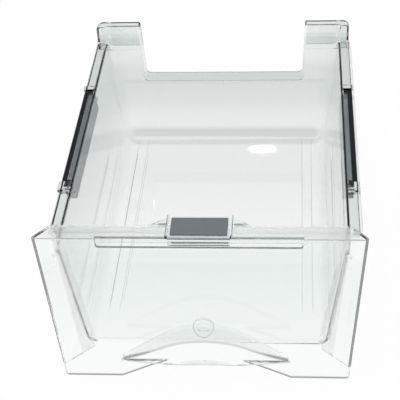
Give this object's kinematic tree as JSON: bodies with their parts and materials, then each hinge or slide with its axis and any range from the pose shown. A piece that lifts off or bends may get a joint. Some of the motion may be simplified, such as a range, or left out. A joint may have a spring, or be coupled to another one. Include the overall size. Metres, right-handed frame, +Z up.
{
  "type": "fridge drawer",
  "caption": "Clear moulded fridge drawer with a tall front panel, arched bottom grip, sliding label holder, dark glide strips on its side rims and a cut-out back wall.",
  "frame": {"origin": "middle of the drawer's overall length and width, at the height of the front panel's feet", "axes": "+Z up, +Y from the front panel to the back wall, +X to the right seen from the front"},
  "size_m": [0.345, 0.484, 0.2024],
  "materials": {
    "clear": "clear moulded polystyrene, polished",
    "clear_slider": "clear moulded polystyrene",
    "strip": "black moulded acetal",
    "carrier": "grey moulded acetal",
    "label": "plain satin grey plate"
  },
  "bodies": {
    "drawer": {"drawer_body": "clear", "glide_strip_left": "strip", "glide_strip_right": "strip", "strip_carrier_left": "carrier", "strip_carrier_right": "carrier"},
    "label": {"label_slider": "clear_slider", "label_plate": "label"}
  },
  "joints": [
    {"name": "label_slide", "type": "slide", "parent": "drawer", "child": "label", "axis": [1, 0, 0], "range_m": [-0.074, 0.074]}
  ]
}
